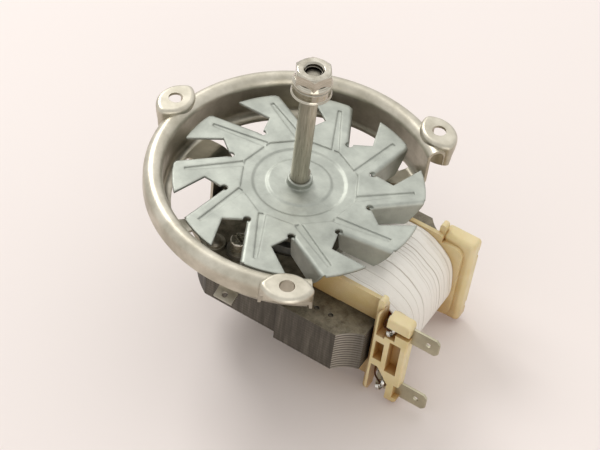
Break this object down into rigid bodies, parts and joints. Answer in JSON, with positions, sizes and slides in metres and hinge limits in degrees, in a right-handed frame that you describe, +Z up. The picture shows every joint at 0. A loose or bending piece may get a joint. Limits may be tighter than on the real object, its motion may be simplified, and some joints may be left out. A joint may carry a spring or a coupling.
{
  "type": "oven fan motor",
  "caption": "Shaded-pole motor under a pressed three-lug mounting ring, with a slotted steel cooling fan on its flatted shaft, a nut on the shaft end and two push-on tabs.",
  "frame": {"origin": "on the shaft axis, level with the top faces of the three fixing lugs", "axes": "+Z up the shaft to the nut, +X from the shaft to the coil and its tabs, +Y across, away from the tabs' side"},
  "size_m": [0.1155, 0.0954, 0.0977],
  "materials": {
    "mounting_ring": "satin",
    "ring_rivets": "satin",
    "stator_stack": "matt",
    "core_limb": "matt",
    "shading_rings": "satin",
    "bobbin": "satin",
    "coil_winding": "gloss",
    "coil_tape": "satin",
    "terminal_upper": "satin",
    "terminal_lower": "satin",
    "lead_wires": "gloss",
    "solder_joints": "gloss",
    "upper_bracket": "satin",
    "lower_bracket": "satin",
    "upper_bush": "matt",
    "lower_bush": "matt",
    "upper_retainer": "satin",
    "lower_retainer": "satin",
    "upper_felt": "matt",
    "lower_felt": "matt",
    "bracket_screws": "satin",
    "rotor_core": "matt",
    "rotor_cage": "matt",
    "thrust_washers": "matt",
    "shaft": "brushed",
    "cooling_fan": "satin",
    "fan_bush": "satin",
    "shaft_washer": "mirror",
    "shaft_nut": "mirror"
  },
  "bodies": {
    "stator": {"stator_stack": "stator_stack", "mounting_ring": "mounting_ring", "ring_rivets": "ring_rivets", "core_limb": "core_limb", "shading_rings": "shading_rings", "bobbin": "bobbin", "coil_winding": "coil_winding", "coil_tape": "coil_tape", "terminal_upper": "terminal_upper", "terminal_lower": "terminal_lower", "lead_wires": "lead_wires", "solder_joints": "solder_joints", "upper_bracket": "upper_bracket", "lower_bracket": "lower_bracket", "upper_bush": "upper_bush", "lower_bush": "lower_bush", "upper_retainer": "upper_retainer", "lower_retainer": "lower_retainer", "upper_felt": "upper_felt", "lower_felt": "lower_felt", "bracket_screws": "bracket_screws"},
    "rotor": {"rotor_core": "rotor_core", "rotor_cage": "rotor_cage", "thrust_washers": "thrust_washers", "shaft": "shaft", "cooling_fan": "cooling_fan", "fan_bush": "fan_bush", "shaft_washer": "shaft_washer", "shaft_nut": "shaft_nut"}
  },
  "joints": [
    {"name": "rotor_spin", "type": "hinge", "parent": "stator", "child": "rotor", "pos_m": [0, 0, 0], "axis": [0, 0, 1], "continuous": true}
  ]
}
